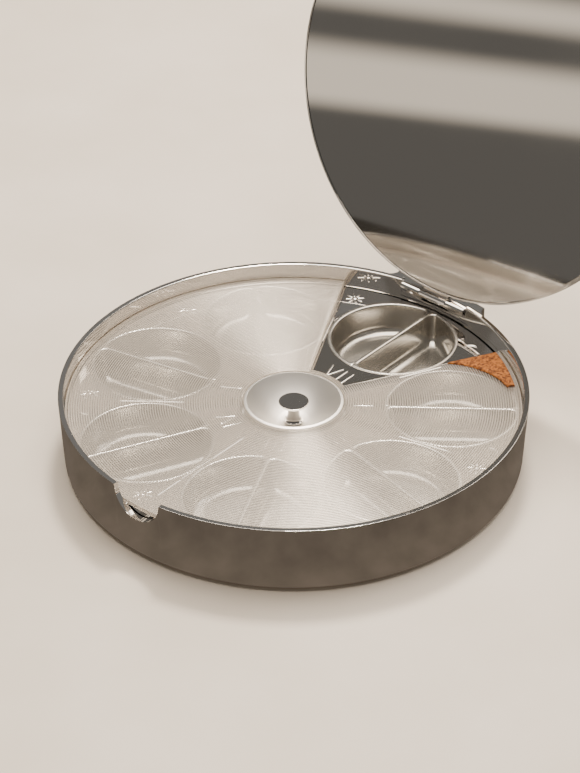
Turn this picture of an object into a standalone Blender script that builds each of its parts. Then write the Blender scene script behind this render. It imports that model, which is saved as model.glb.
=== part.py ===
"""Seven-day rotary organiser: a round case with a turning tray of split cups under a fixed cover.

Frame: +Z up, origin on the surface it stands on, at the centre of the case. The hinge is at +Y,
the thumb notch at -Y. All sizes are metres.
"""
from math import atan2, cos, pi, radians, sin, sqrt

import bmesh
import bpy

# ---------------------------------------------------------------- driving dimensions
CLEARANCE = 0.0003          # between pieces that touch or seat on each other

CASE_RADIUS = 0.0860        # outside, at the rim
CASE_HEIGHT = 0.0275        # rim above the ground
CASE_TAPER = 0.0012         # how much smaller the base is than the rim
RIM_WIDTH = 0.0020          # flat ring on top of the wall
LEDGE_WIDTH = 0.0006        # step in the wall that carries the cover
FLOOR_THICKNESS = 0.0025
LOW_WALL_STEP = 0.0010      # the wall gets thicker below the tray
BASE_FILLET = 0.0015
PAD_THICKNESS = 0.0010
PAD_INSET = 0.0068          # pad edge to base edge

COVER_DROP = 0.0059         # cover's top below the rim
COVER_THICKNESS = 0.0015
COVER_GAP = 0.0008          # cover to tray
HUB_RING_WIDTH = 0.0017     # cover left between the dish and the window
WINDOW_APEX = 0.0030        # where the window's two edges would meet, in front of the axis
WINDOW_WIDEN = radians(2.1)  # how much more each edge leans than the side of a pocket's sector

POCKETS = 7
PLATE_THICKNESS = 0.0016
TRAY_GAP = 0.0004           # tray edge to the case's ledge
EDGE_WEB = 0.0009           # pocket to tray edge
POCKET_WEB = 0.0019         # pocket to pocket
CUP_WALL = 0.0010
CUP_FLOOR = 0.0008
CUP_LIFT = 0.0024           # cup above the case floor
DIVIDER = 0.0020
CUP_CORNER = 0.0020
CUP_FILLET = 0.0035

DISH_RADIUS = 0.0185        # edge of the dish's flange
DISH_LIP = 0.0165           # where the bowl starts
DISH_SHEET = 0.0008
DISH_FLAT = 0.0050

SPINDLE_RADIUS = 0.0020
SPINDLE_TIP = 0.0012
GROOVE_RADIUS = 0.0014
CLIP_THICKNESS = 0.0006
CLIP_RADIUS = 0.0045
BUSH_RADIUS = 0.0034
BUSH_FLANGE = 0.0060
BUSH_FLANGE_THICKNESS = 0.0008
WASHER_RADIUS = 0.0042
WASHER_THICKNESS = 0.0004
WHEEL_RADIUS = 0.0120
WHEEL_THICKNESS = 0.0016
WHEEL_NOTCH = 0.0022
HUB_BOSS_RADIUS = 0.0060
HUB_FLOOR_THICKNESS = 0.0020
HUB_FLANGE_THICKNESS = 0.0014
HUB_SEAT_HEIGHT = 0.0030    # ring under the tray plate
HUB_HOLE_RADIUS = 0.0195
HUB_TO_POCKET = 0.0030

KNOB_RADIUS = 0.0056
KNOB_HEAD = 0.0011
KNOB_NECK = 0.0022
KNOB_FOOT = 0.0037
KNOB_BELOW_COVER = 0.0008   # knob's top under the cover's top

HINGE_INSET = 0.0011        # pin's axis inside the wall's inner face
HINGE_DROP = 0.0024         # pin's axis below the rim
PIN_RADIUS = 0.0008
KNUCKLE_RADIUS = 0.0017
ARM_WIDTH = 0.0124
BLOCK_WIDTH = 0.0310        # over both fixed knuckles
BLOCK_DROP = 0.0005         # block's top below the rim
BLOCK_DEPTH = 0.0070        # block in the wall
BOSS_RADIUS = 0.0040        # boss stands this far outside the wall
BOSS_WIDTH = 0.0420
BOSS_HEIGHT = 0.0130
BOSS_FLARE = 0.0045

OPEN_ANGLE = radians(104.5)
LID_GAP = 0.0024            # lid edge to wall
LID_REACH = 0.0032          # pin's axis to lid edge
LID_FACE_DROP = 0.00075     # lid's inner face below the pin's axis when shut
LID_THICKNESS = 0.0030
LID_LIP = 0.0008
MIRROR_THICKNESS = 0.0010
MIRROR_SINK = 0.0001
FLANGE_LENGTH = 0.0100
FLANGE_THICKNESS = 0.0006

NOTCH_RADIUS = 0.0102
NOTCH_ANGLE = radians(-88.7)

PATCH_THICKNESS = 0.0007
PATCH_MARGIN = 0.0017       # patch to the cover's outer edge
PATCH_INSET = 0.0015        # patch to the window's edge
PATCH_SHIFT = 0.0019        # its hollow side's centre, nearer the axis than the pocket beside it
PATCH_OVERSIZE = 0.0004     # its hollow side's radius over that pocket's
PATCH_TAIL = radians(7.5)   # the patch ends this far short of that pocket's middle

SCREW_RADIUS = 0.0012
SCREW_HEAD = 0.0023
BLOCK_SCREW_SPAN = 0.0220

STEPS = 64                  # facets round the large turned pieces
MID_STEPS = 36
SMALL_STEPS = 20
CUP_STEPS = 32

# ---------------------------------------------------------------- derived heights and radii
CASE_BOTTOM = PAD_THICKNESS + CLEARANCE
FLOOR_TOP = CASE_BOTTOM + FLOOR_THICKNESS
WALL_INNER = CASE_RADIUS - RIM_WIDTH
LEDGE_INNER = WALL_INNER - LEDGE_WIDTH
COVER_TOP = CASE_HEIGHT - COVER_DROP
COVER_BOTTOM = COVER_TOP - COVER_THICKNESS
LEDGE_TOP = COVER_BOTTOM - CLEARANCE
TRAY_TOP = COVER_BOTTOM - COVER_GAP
PLATE_BOTTOM = TRAY_TOP - PLATE_THICKNESS
TRAY_RADIUS = LEDGE_INNER - TRAY_GAP
SECTOR = 2 * pi / POCKETS
POCKET_RADIUS = ((TRAY_RADIUS - EDGE_WEB) * sin(SECTOR / 2) - POCKET_WEB / 2) / (1 + sin(SECTOR / 2))
POCKET_RING = TRAY_RADIUS - EDGE_WEB - POCKET_RADIUS
CUP_BOTTOM = FLOOR_TOP + CUP_LIFT
HUB_HOLE_OUTER = POCKET_RING - POCKET_RADIUS - HUB_TO_POCKET

BUSH_FLANGE_TOP = FLOOR_TOP + CLEARANCE + BUSH_FLANGE_THICKNESS
WASHER_BOTTOM = BUSH_FLANGE_TOP + CLEARANCE
WHEEL_BOTTOM = WASHER_BOTTOM + WASHER_THICKNESS + CLEARANCE
HUB_BOTTOM = WHEEL_BOTTOM + WHEEL_THICKNESS + CLEARANCE
HUB_FLOOR_TOP = HUB_BOTTOM + HUB_FLOOR_THICKNESS
DISH_BOTTOM = HUB_FLOOR_TOP + 0.0013
DISH_FLOOR = DISH_BOTTOM + DISH_SHEET
DISH_FLANGE_BOTTOM = COVER_TOP - DISH_SHEET / 2 - CLEARANCE
BORE = SPINDLE_RADIUS + CLEARANCE
CLIP_RECESS = 0.0014
CLIP_RECESS_RADIUS = CLIP_RADIUS + 0.0020
CLIP_BOTTOM = CASE_BOTTOM + 0.0007

HINGE_Y = WALL_INNER - HINGE_INSET
HINGE_Z = CASE_HEIGHT - HINGE_DROP
LID_RADIUS = WALL_INNER - LID_GAP
LID_CENTRE_Y = HINGE_Y - LID_REACH - LID_RADIUS
LID_FACE = HINGE_Z - LID_FACE_DROP
LID_TOP = LID_FACE + LID_THICKNESS
MIRROR_RADIUS = LID_RADIUS - LID_LIP - CLEARANCE
MIRROR_FACE = LID_FACE + MIRROR_SINK
MIRROR_BACK = MIRROR_FACE + MIRROR_THICKNESS
SEAT_Z = MIRROR_BACK + CLEARANCE
WINDOW_INNER = DISH_RADIUS + CLEARANCE + HUB_RING_WIDTH


# ---------------------------------------------------------------- scene and helpers
def clear_scene():
    for obj in list(bpy.data.objects):
        bpy.data.objects.remove(obj, do_unlink=True)


def make_collection(name):
    collection = bpy.data.collections.new(name)
    bpy.context.scene.collection.children.link(collection)
    return collection


def make_material(name, colour, metallic, roughness):
    material = bpy.data.materials.new(name)
    material.use_nodes = True
    shader = material.node_tree.nodes["Principled BSDF"]
    shader.inputs["Base Color"].default_value = (*colour, 1.0)
    shader.inputs["Metallic"].default_value = metallic
    shader.inputs["Roughness"].default_value = roughness
    return material


def move_to(obj, collection):
    for current in list(obj.users_collection):
        current.objects.unlink(obj)
    collection.objects.link(obj)


def finish_part(obj, name, finish):
    obj.name = name
    obj.data.name = name
    obj.data.materials.clear()
    obj.data.materials.append(finish)
    move_to(obj, parts)
    obj.data.shade_smooth()
    obj.data.set_sharp_from_angle(angle=radians(30))
    return obj


def finish_cutter(obj, name):
    obj.name = name
    move_to(obj, cutters)
    obj.hide_render = True
    obj.display_type = 'WIRE'
    return obj


def box(low, high):
    """Axis-aligned box from its low corner to its high corner."""
    size = [h - l for l, h in zip(low, high)]
    centre = [(l + h) / 2 for l, h in zip(low, high)]
    bpy.ops.mesh.primitive_cube_add(size=1.0, location=centre)
    obj = bpy.context.object
    obj.scale = size
    bpy.ops.object.transform_apply(location=True, rotation=False, scale=True)
    return obj


def rod(radius, start, length, axis='Z', vertices=SMALL_STEPS):
    """Cylinder that starts at a point and runs along +X, +Y or +Z."""
    turn = {'X': (0, pi / 2, 0), 'Y': (-pi / 2, 0, 0), 'Z': (0, 0, 0)}[axis]
    step = {'X': (length / 2, 0, 0), 'Y': (0, length / 2, 0), 'Z': (0, 0, length / 2)}[axis]
    centre = [s + d for s, d in zip(start, step)]
    bpy.ops.mesh.primitive_cylinder_add(vertices=vertices, radius=radius, depth=length,
                                        location=centre, rotation=turn)
    bpy.ops.object.transform_apply(location=True, rotation=True, scale=True)
    return bpy.context.object


def turned(profile, closed, steps=STEPS, centre=(0, 0)):
    """Profile of (radius, height) points, outer side downwards, turned about Z."""
    mesh = bpy.data.meshes.new("turned")
    points = [(r, 0, z) for r, z in profile]
    edges = [(i, i + 1) for i in range(len(points) - 1)]
    if closed:
        edges.append((len(points) - 1, 0))
    mesh.from_pydata(points, edges, [])
    obj = bpy.data.objects.new("turned", mesh)
    bpy.context.scene.collection.objects.link(obj)
    obj.location = (*centre, 0)
    screw = obj.modifiers.new("Turn", 'SCREW')
    screw.axis = 'Z'
    screw.steps = steps
    screw.render_steps = steps
    screw.use_merge_vertices = True
    screw.merge_threshold = 0.000005
    return obj


def plate(outline, bottom, top):
    """Flat plate from a closed outline of (x, y) points."""
    curve = bpy.data.curves.new("plate", 'CURVE')
    curve.dimensions = '2D'
    curve.fill_mode = 'BOTH'
    curve.extrude = (top - bottom) / 2
    spline = curve.splines.new('POLY')
    spline.points.add(len(outline) - 1)
    for point, (x, y) in zip(spline.points, outline):
        point.co = (x, y, 0, 1)
    spline.use_cyclic_u = True
    guide = bpy.data.objects.new("plate", curve)
    bpy.context.scene.collection.objects.link(guide)
    guide.location = (0, 0, (top + bottom) / 2)
    bpy.context.view_layer.update()
    evaluated = guide.evaluated_get(bpy.context.evaluated_depsgraph_get())
    mesh = bpy.data.meshes.new_from_object(evaluated)
    work = bmesh.new()
    work.from_mesh(mesh)
    bmesh.ops.transform(work, matrix=guide.matrix_world, verts=work.verts)
    bmesh.ops.remove_doubles(work, verts=work.verts, dist=0.000001)
    bmesh.ops.recalc_face_normals(work, faces=work.faces)
    work.to_mesh(mesh)
    work.free()
    bpy.data.objects.remove(guide, do_unlink=True)
    obj = bpy.data.objects.new("plate", mesh)
    bpy.context.scene.collection.objects.link(obj)
    return obj


def boolean(obj, other, operation):
    modifier = obj.modifiers.new(operation.title(), 'BOOLEAN')
    modifier.operation = operation
    modifier.object = other
    return modifier


def cut(obj, cutter, name):
    finish_cutter(cutter, name)
    boolean(obj, cutter, 'DIFFERENCE')


def join(obj, other, name):
    finish_cutter(other, name)
    boolean(obj, other, 'UNION')


def bevel(obj, width, segments=2, angle=50):
    modifier = obj.modifiers.new("Bevel", 'BEVEL')
    modifier.width = width
    modifier.segments = segments
    modifier.limit_method = 'ANGLE'
    modifier.angle_limit = radians(angle)
    return modifier


def arc(radius, start, end, count, centre=(0, 0)):
    """Points on a circle; angles are measured from +Y towards +X."""
    angles = [start + (end - start) * i / (count - 1) for i in range(count)]
    return [(centre[0] + radius * sin(a), centre[1] + radius * cos(a)) for a in angles]


def pocket_centre(index):
    angle = index * SECTOR
    return (POCKET_RING * sin(angle), POCKET_RING * cos(angle))


# ---------------------------------------------------------------- case, fixed pieces
def make_case():
    base_radius = CASE_RADIUS - CASE_TAPER
    low_inner = LEDGE_INNER - LOW_WALL_STEP
    low_wall_top = PLATE_BOTTOM - 0.0012
    outer_fillet = [(base_radius - BASE_FILLET * (1 - cos(a)), CASE_BOTTOM + BASE_FILLET * (1 - sin(a)))
                    for a in (0, pi / 6, pi / 3, pi / 2)]
    profile = [(WALL_INNER, CASE_HEIGHT), (CASE_RADIUS, CASE_HEIGHT)]
    profile += outer_fillet
    profile += [(CLIP_RECESS_RADIUS, CASE_BOTTOM), (CLIP_RECESS_RADIUS, CASE_BOTTOM + CLIP_RECESS)]
    profile += [(BUSH_RADIUS + CLEARANCE, CASE_BOTTOM + CLIP_RECESS), (BUSH_RADIUS + CLEARANCE, FLOOR_TOP)]
    profile += [(low_inner, FLOOR_TOP), (low_inner, low_wall_top), (LEDGE_INNER, low_wall_top + 0.0008)]
    profile += [(LEDGE_INNER, LEDGE_TOP), (WALL_INNER, LEDGE_TOP)]
    case = turned(profile, closed=True)
    notch = rod(NOTCH_RADIUS, (0, 0, 0), 0.0120, 'X', 48)
    notch.location = (0.0, 0.0, CASE_HEIGHT)
    for vertex in notch.data.vertices:
        vertex.co.x += WALL_INNER - 0.0050
    notch.rotation_euler = (0, 0, NOTCH_ANGLE)
    cut(case, notch, "cut_thumb_notch")
    half = BLOCK_WIDTH / 2 + CLEARANCE
    low_z = CASE_HEIGHT - BLOCK_DEPTH - CLEARANCE
    opening = box((-half, HINGE_Y - 0.006, low_z), (half, CASE_RADIUS + 0.003, CASE_HEIGHT + 0.002))
    cut(case, opening, "cut_hinge_opening")
    for side in (-1, 1):
        hole = rod(SCREW_RADIUS + CLEARANCE, (side * BLOCK_SCREW_SPAN / 2, WALL_INNER - 0.006, block_screw_z()),
                   0.010, 'Y', 16)
        cut(case, hole, f"cut_block_screw_{side + 2}")
    spring_hole = rod(SCREW_RADIUS, (*spring_anchor(), FLOOR_TOP - 0.0014), 0.0030, 'Z', 16)
    cut(case, spring_hole, "cut_spring_screw")
    finish_part(case, "case_body", steel)


def make_pad():
    pad = rod(CASE_RADIUS - CASE_TAPER - PAD_INSET, (0, 0, 0), PAD_THICKNESS, 'Z', STEPS)
    finish_part(pad, "base_pad", rubber)


def on_window_edge(radius, inset=0.0):
    """Point at this radius on the window's +X edge, or on a line beside it, further from the window."""
    lean = SECTOR / 2 + WINDOW_WIDEN
    offset = inset - WINDOW_APEX * sin(lean)
    along = sqrt(radius ** 2 - offset ** 2)
    return (offset * cos(lean) + along * sin(lean), along * cos(lean) - offset * sin(lean))


def window_outline(inner, outer):
    """Wedge over one pocket, centred on the hinge, with its point cut off by the hub ring."""
    corner, far = on_window_edge(inner), on_window_edge(outer)
    half = atan2(*corner)
    return arc(inner, -half, half, 9) + [far, (0, outer), (-far[0], far[1])]


def make_cover():
    """Ring with a step that carries the dish, less the window's sector."""
    seat = DISH_FLANGE_BOTTOM - CLEARANCE
    bowl_hole = DISH_LIP + DISH_SHEET + CLEARANCE
    profile = [(DISH_RADIUS + CLEARANCE, COVER_TOP), (WALL_INNER - CLEARANCE, COVER_TOP)]
    profile += [(WALL_INNER - CLEARANCE, COVER_BOTTOM), (bowl_hole, COVER_BOTTOM)]
    profile += [(bowl_hole, seat), (DISH_RADIUS + CLEARANCE, seat)]
    cover = turned(profile, closed=True)
    opening = plate(window_outline(WINDOW_INNER, CASE_RADIUS * 1.2), COVER_BOTTOM - 0.002, COVER_TOP + 0.002)
    cut(cover, opening, "cut_window")
    finish_part(cover, "window_cover", frosted)


def dish_curve(count, floor, drop=0.0):
    """Bowl from its flat bottom up to the lip: height grows with the square of the radius."""
    rise = COVER_TOP - floor - drop
    points = []
    for i in range(count + 1):
        r = DISH_FLAT + (DISH_LIP - DISH_FLAT) * i / count
        share = (r - DISH_FLAT) / (DISH_LIP - DISH_FLAT)
        points.append((r, floor + rise * (0.35 * share + 0.65 * share * share)))
    return points


def make_dish():
    inside = dish_curve(5, DISH_FLOOR)
    lip = inside[-1]
    flange_top = DISH_FLANGE_BOTTOM + DISH_SHEET / 2
    outside = [(DISH_LIP + DISH_SHEET * 0.8, DISH_FLANGE_BOTTOM)]
    outside += [(r + DISH_SHEET * 0.55, z - DISH_SHEET * 0.8) for r, z in reversed(inside[1:-1])]
    outside += [(DISH_FLAT, DISH_BOTTOM), (SPINDLE_RADIUS + 2 * CLEARANCE, DISH_BOTTOM)]
    profile = [(SPINDLE_RADIUS + 2 * CLEARANCE, DISH_FLOOR)] + inside[:-1]
    profile += [lip, (DISH_RADIUS, flange_top), (DISH_RADIUS, DISH_FLANGE_BOTTOM)] + outside
    dish = turned(profile, closed=True, steps=MID_STEPS)
    finish_part(dish, "centre_dish", satin)


def patch_outline():
    """Between the window's edge, the cover's edge and a circle a little inside the next pocket's place."""
    lean = SECTOR / 2 + WINDOW_WIDEN
    hollow = POCKET_RADIUS + PATCH_OVERSIZE
    ring = POCKET_RING - PATCH_SHIFT
    centre = (ring * sin(SECTOR), ring * cos(SECTOR))
    outer = WALL_INNER - CLEARANCE - PATCH_MARGIN
    offset = PATCH_INSET - WINDOW_APEX * sin(lean)
    away = centre[0] * cos(lean) - centre[1] * sin(lean) - offset
    along = centre[0] * sin(lean) + centre[1] * cos(lean) + sqrt(hollow ** 2 - away ** 2)
    tip = (offset * cos(lean) + along * sin(lean), along * cos(lean) - offset * sin(lean))
    outside = arc(outer, atan2(*on_window_edge(outer, PATCH_INSET)), SECTOR - PATCH_TAIL, 9)
    tail_radius = ring * cos(PATCH_TAIL) + sqrt(hollow ** 2 - (ring * sin(PATCH_TAIL)) ** 2)
    tail = (tail_radius * sin(SECTOR - PATCH_TAIL), tail_radius * cos(SECTOR - PATCH_TAIL))
    first = atan2(tail[0] - centre[0], tail[1] - centre[1])
    last = atan2(tip[0] - centre[0], tip[1] - centre[1])
    return outside + arc(hollow, first, last, 10, centre)


def make_patch():
    bottom = COVER_TOP + CLEARANCE
    patch = plate(patch_outline(), bottom, bottom + PATCH_THICKNESS)
    finish_part(patch, "cork_patch", cork)


def make_bush():
    low = CLIP_BOTTOM + CLIP_THICKNESS + CLEARANCE
    flange_bottom = FLOOR_TOP + CLEARANCE
    profile = [(BORE, BUSH_FLANGE_TOP), (BUSH_FLANGE, BUSH_FLANGE_TOP), (BUSH_FLANGE, flange_bottom)]
    profile += [(BUSH_RADIUS, flange_bottom), (BUSH_RADIUS, low), (BORE, low)]
    bush = turned(profile, closed=True, steps=SMALL_STEPS)
    finish_part(bush, "spindle_bush", polymer)


def spring_anchor():
    return (WHEEL_RADIUS + 0.0085, -0.0100)


def make_index_spring():
    """Strip on edge whose nose stands just clear of the wheel, on a foot with one screw."""
    x, y = spring_anchor()
    nose = WHEEL_RADIUS + 0.0006
    strip = [(x - 0.0032, y + 0.0004), (x - 0.0040, y + 0.0050), (nose + 0.0020, -0.0015), (nose + 0.0002, 0)]
    strip += [(nose + 0.0020, 0.0015), (x - 0.0040, 0.0060)]
    thick = 0.0004
    outline = strip + [(px + thick, py) for px, py in reversed(strip)]
    low = FLOOR_TOP + CLEARANCE
    top = WHEEL_BOTTOM + WHEEL_THICKNESS
    spring = plate(outline, low, top)
    foot = box((x - 0.0030, y - 0.0030, low), (x + 0.0030, y + 0.0030, low + 0.0006))
    join(spring, foot, "join_spring_foot")
    cut(spring, rod(SCREW_RADIUS, (x, y, low - 0.001), 0.004, 'Z', 16), "cut_spring_foot")
    finish_part(spring, "index_spring", steel)


def make_spring_screw():
    x, y = spring_anchor()
    head = FLOOR_TOP + 2 * CLEARANCE + 0.0006
    shank = SCREW_RADIUS - CLEARANCE
    low = FLOOR_TOP - 0.0011
    profile = [(0, head + 0.0010), (SCREW_HEAD * 0.8, head + 0.0010), (SCREW_HEAD, head + 0.0006)]
    profile += [(SCREW_HEAD, head), (shank, head), (shank, low), (0, low)]
    screw = turned(profile, closed=False, steps=16, centre=(x, y))
    finish_part(screw, "spring_screw", satin)


# ---------------------------------------------------------------- hinge, fixed pieces
def block_screw_z():
    return CASE_HEIGHT - BLOCK_DEPTH - 0.0030


def boss_outline():
    """Outside of the boss: an arc with hollow flares that run into the wall."""
    outer = CASE_RADIUS + BOSS_RADIUS
    half = BOSS_WIDTH / 2 / outer
    flare = BOSS_FLARE / CASE_RADIUS
    side = []
    for i in range(6):
        turn = pi / 2 * i / 5
        side.append((CASE_RADIUS + CLEARANCE + BOSS_RADIUS * (1 - sin(turn)), half + flare * (1 - cos(turn))))
    right = [(r * sin(a), r * cos(a)) for r, a in side]
    left = [(-px, py) for px, py in reversed(right)]
    inner = arc(CASE_RADIUS - 0.0060, half + flare, -half - flare, 13)
    return arc(outer, -half, half, 13)[1:-1] + right + inner + left


def make_hinge_block():
    top = CASE_HEIGHT - BLOCK_DROP
    half = BLOCK_WIDTH / 2
    block = plate(boss_outline(), top - BOSS_HEIGHT, top)
    wall = rod(CASE_RADIUS + CLEARANCE, (0, 0, 0), 0.05, 'Z', 128)
    cut(block, wall, "cut_block_wall")
    low = CASE_HEIGHT - BLOCK_DEPTH
    insert = plate([(-half, WALL_INNER - 0.0020), (half, WALL_INNER - 0.0020), (half, CASE_RADIUS + 0.0010),
                    (-half, CASE_RADIUS + 0.0010)], low, top)
    join(block, insert, "join_block_insert")
    bore = rod(WALL_INNER, (0, 0, low - 0.001), 0.02, 'Z', 128)
    cut(block, bore, "cut_block_bore")
    axis = (HINGE_Y, HINGE_Z)
    knuckles = rod(KNUCKLE_RADIUS, (-half + 0.0005, *axis), 2 * half - 0.001, 'X', 20)
    join(block, knuckles, "join_block_knuckles")
    web = box((-half + 0.0005, HINGE_Y, HINGE_Z - KNUCKLE_RADIUS), (half - 0.0005, CASE_RADIUS, HINGE_Z + KNUCKLE_RADIUS))
    join(block, web, "join_block_web")
    gap = ARM_WIDTH / 2 + CLEARANCE
    middle = box((-gap, HINGE_Y - 0.006, low + 0.0008), (gap, CASE_RADIUS - 0.0002, top + 0.003))
    cut(block, middle, "cut_block_middle")
    cut(block, rod(PIN_RADIUS + CLEARANCE, (-half - 0.002, *axis), 2 * half + 0.004, 'X', 16), "cut_block_pin")
    back = CASE_RADIUS + BOSS_RADIUS
    for side in (-1, 1):
        x = side * BLOCK_SCREW_SPAN / 2
        hole = rod(SCREW_RADIUS + CLEARANCE, (x, CASE_RADIUS - 0.004, block_screw_z()), 0.020, 'Y', 16)
        cut(block, hole, f"cut_boss_screw_{side + 2}")
        seat = rod(SCREW_HEAD + CLEARANCE, (x, back - 0.0024, block_screw_z()), 0.010, 'Y', 16)
        cut(block, seat, f"cut_boss_seat_{side + 2}")
    finish_part(block, "hinge_block", steel)


def make_block_screws():
    """Two button-head screws along Y, put in from the back."""
    back = CASE_RADIUS + BOSS_RADIUS
    tip = WALL_INNER + 0.0002
    head = back - 0.0024 + CLEARANCE
    for number, side in ((1, -1), (2, 1)):
        x = side * BLOCK_SCREW_SPAN / 2
        screw = rod(SCREW_RADIUS, (x, tip, block_screw_z()), head - tip + 0.0004, 'Y', 16)
        cap = rod(SCREW_HEAD, (x, head, block_screw_z()), 0.0014, 'Y', 16)
        join(screw, cap, f"join_block_screw_{number}")
        finish_part(screw, f"hinge_block_screw_{number}", satin)


def make_pin():
    half = BLOCK_WIDTH / 2 - 0.0003
    pin = rod(PIN_RADIUS, (-half, HINGE_Y, HINGE_Z), 2 * half, 'X', 16)
    finish_part(pin, "hinge_pin", steel)


# ---------------------------------------------------------------- tray and what turns with it
def make_tray_plate():
    seat_bottom = PLATE_BOTTOM - HUB_SEAT_HEIGHT
    profile = [(HUB_HOLE_RADIUS, TRAY_TOP), (TRAY_RADIUS, TRAY_TOP), (TRAY_RADIUS, PLATE_BOTTOM)]
    profile += [(HUB_HOLE_OUTER, PLATE_BOTTOM), (HUB_HOLE_OUTER, seat_bottom), (HUB_HOLE_RADIUS, seat_bottom)]
    tray = turned(profile, closed=True)
    for index in range(POCKETS):
        x, y = pocket_centre(index)
        hole = rod(POCKET_RADIUS + CLEARANCE, (x, y, PLATE_BOTTOM - 0.001), PLATE_THICKNESS + 0.002, 'Z', CUP_STEPS)
        cut(tray, hole, f"cut_tray_pocket_{index + 1}")
    for index in range(3):
        px, py = hub_screw_place(index)
        hole = rod(SCREW_RADIUS, (px, py, seat_bottom - 0.001), 0.0030, 'Z', 12)
        cut(tray, hole, f"cut_tray_screw_{index + 1}")
    tray.parent = tray_axis
    finish_part(tray, "tray_plate", steel)


def half_cup_cutter(side):
    """D-shaped solid on one side of the divider, with round corners and a round bottom edge."""
    radius = POCKET_RADIUS - CUP_WALL
    floor = CUP_BOTTOM + CUP_FLOOR
    top = TRAY_TOP + 0.0060
    solid = bpy.data.meshes.new("half_cup")
    work = bmesh.new()
    bmesh.ops.create_cone(work, cap_ends=True, segments=CUP_STEPS, radius1=radius, radius2=radius, depth=top - floor)
    bmesh.ops.translate(work, verts=work.verts, vec=(0, POCKET_RING, (top + floor) / 2))
    geometry = work.verts[:] + work.edges[:] + work.faces[:]
    cutting = bmesh.ops.bisect_plane(work, geom=geometry, plane_co=(side * DIVIDER / 2, 0, 0),
                                     plane_no=(side, 0, 0), clear_inner=True)
    rim = [item for item in cutting["geom_cut"] if isinstance(item, bmesh.types.BMEdge)]
    bmesh.ops.contextual_create(work, geom=rim)
    bmesh.ops.recalc_face_normals(work, faces=work.faces)
    corners = [edge for edge in work.edges if is_corner(edge, side * DIVIDER / 2)]
    bmesh.ops.bevel(work, geom=corners, offset=CUP_CORNER, segments=3, profile=0.5, affect='EDGES')
    lower = [edge for edge in work.edges if all(abs(v.co.z - floor) < 0.00001 for v in edge.verts)]
    bmesh.ops.bevel(work, geom=lower, offset=CUP_FILLET * 0.55, segments=2, profile=0.5, affect='EDGES')
    work.to_mesh(solid)
    work.free()
    obj = bpy.data.objects.new("half_cup", solid)
    bpy.context.scene.collection.objects.link(obj)
    return obj


def is_corner(edge, x):
    upright = abs(edge.verts[0].co.z - edge.verts[1].co.z) > 0.001
    return upright and all(abs(v.co.x - x) < 0.00001 for v in edge.verts)


def make_cups():
    left = half_cup_cutter(-1)
    right = half_cup_cutter(1)
    for index in range(POCKETS):
        cup = rod(POCKET_RADIUS, (0, POCKET_RING, CUP_BOTTOM), TRAY_TOP - CUP_BOTTOM, 'Z', CUP_STEPS)
        bevel(cup, CUP_FILLET * 0.5, segments=2)
        limit_bevel_to_bottom(cup)
        for side, half in ((-1, left), (1, right)):
            cutter = half if index == 0 else bpy.data.objects.new("half_cup", half.data)
            if index:
                bpy.context.scene.collection.objects.link(cutter)
            cutter.rotation_euler = (0, 0, -index * SECTOR)
            cutter.parent = tray_axis
            cut(cup, cutter, f"cut_cup_{index + 1}_{side + 2}")
        cup.rotation_euler = (0, 0, -index * SECTOR)
        cup.parent = tray_axis
        finish_part(cup, f"pocket_cup_{index + 1}", brushed)


def limit_bevel_to_bottom(cup):
    """Bevel only the lower edge, through a weight on its edges."""
    weights = cup.data.attributes.new("bevel_weight_edge", 'FLOAT', 'EDGE')
    for edge in cup.data.edges:
        heights = [cup.data.vertices[v].co.z for v in edge.vertices]
        weights.data[edge.index].value = 1.0 if max(heights) < CUP_BOTTOM + 0.00001 else 0.0
    cup.modifiers["Bevel"].limit_method = 'WEIGHT'


def hub_screw_place(index):
    """Between two pockets, on the middle of the hub's flange."""
    radius = (HUB_HOLE_RADIUS + HUB_HOLE_OUTER) / 2
    angle = SECTOR * (2 * index + 1.5)
    return (radius * sin(angle), radius * cos(angle))


def make_hub():
    """Flange under the tray, a cone down to the middle and a boss round the spindle."""
    top = PLATE_BOTTOM - HUB_SEAT_HEIGHT - CLEARANCE
    low = top - HUB_FLANGE_THICKNESS
    cone_out = HUB_HOLE_RADIUS - 0.0010
    cone_in = HUB_BOSS_RADIUS + 0.0030
    profile = [(BORE, HUB_FLOOR_TOP), (cone_in, HUB_FLOOR_TOP), (cone_out, top), (HUB_HOLE_OUTER, top)]
    profile += [(HUB_HOLE_OUTER, low), (cone_out + 0.0005, low), (cone_in + 0.0010, HUB_BOTTOM + 0.0006)]
    profile += [(HUB_BOSS_RADIUS, HUB_BOTTOM + 0.0006), (HUB_BOSS_RADIUS, HUB_BOTTOM), (BORE, HUB_BOTTOM)]
    hub = turned(profile, closed=True, steps=MID_STEPS)
    for index in range(3):
        px, py = hub_screw_place(index)
        cut(hub, rod(SCREW_RADIUS, (px, py, low - 0.001), 0.0040, 'Z', 12), f"cut_hub_screw_{index + 1}")
    hub.parent = tray_axis
    finish_part(hub, "tray_hub", satin)


def make_hub_screws():
    low = PLATE_BOTTOM - HUB_SEAT_HEIGHT - CLEARANCE - HUB_FLANGE_THICKNESS
    shank = SCREW_RADIUS - CLEARANCE
    tip = low + HUB_FLANGE_THICKNESS + CLEARANCE + 0.0014
    profile = [(0, tip), (shank, tip), (shank, low - CLEARANCE), (SCREW_HEAD, low - CLEARANCE)]
    profile += [(SCREW_HEAD, low - CLEARANCE - 0.0010), (0, low - CLEARANCE - 0.0010)]
    for index in range(3):
        screw = turned(profile, closed=False, steps=12, centre=hub_screw_place(index))
        screw.parent = tray_axis
        finish_part(screw, f"hub_screw_{index + 1}", satin)


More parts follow.
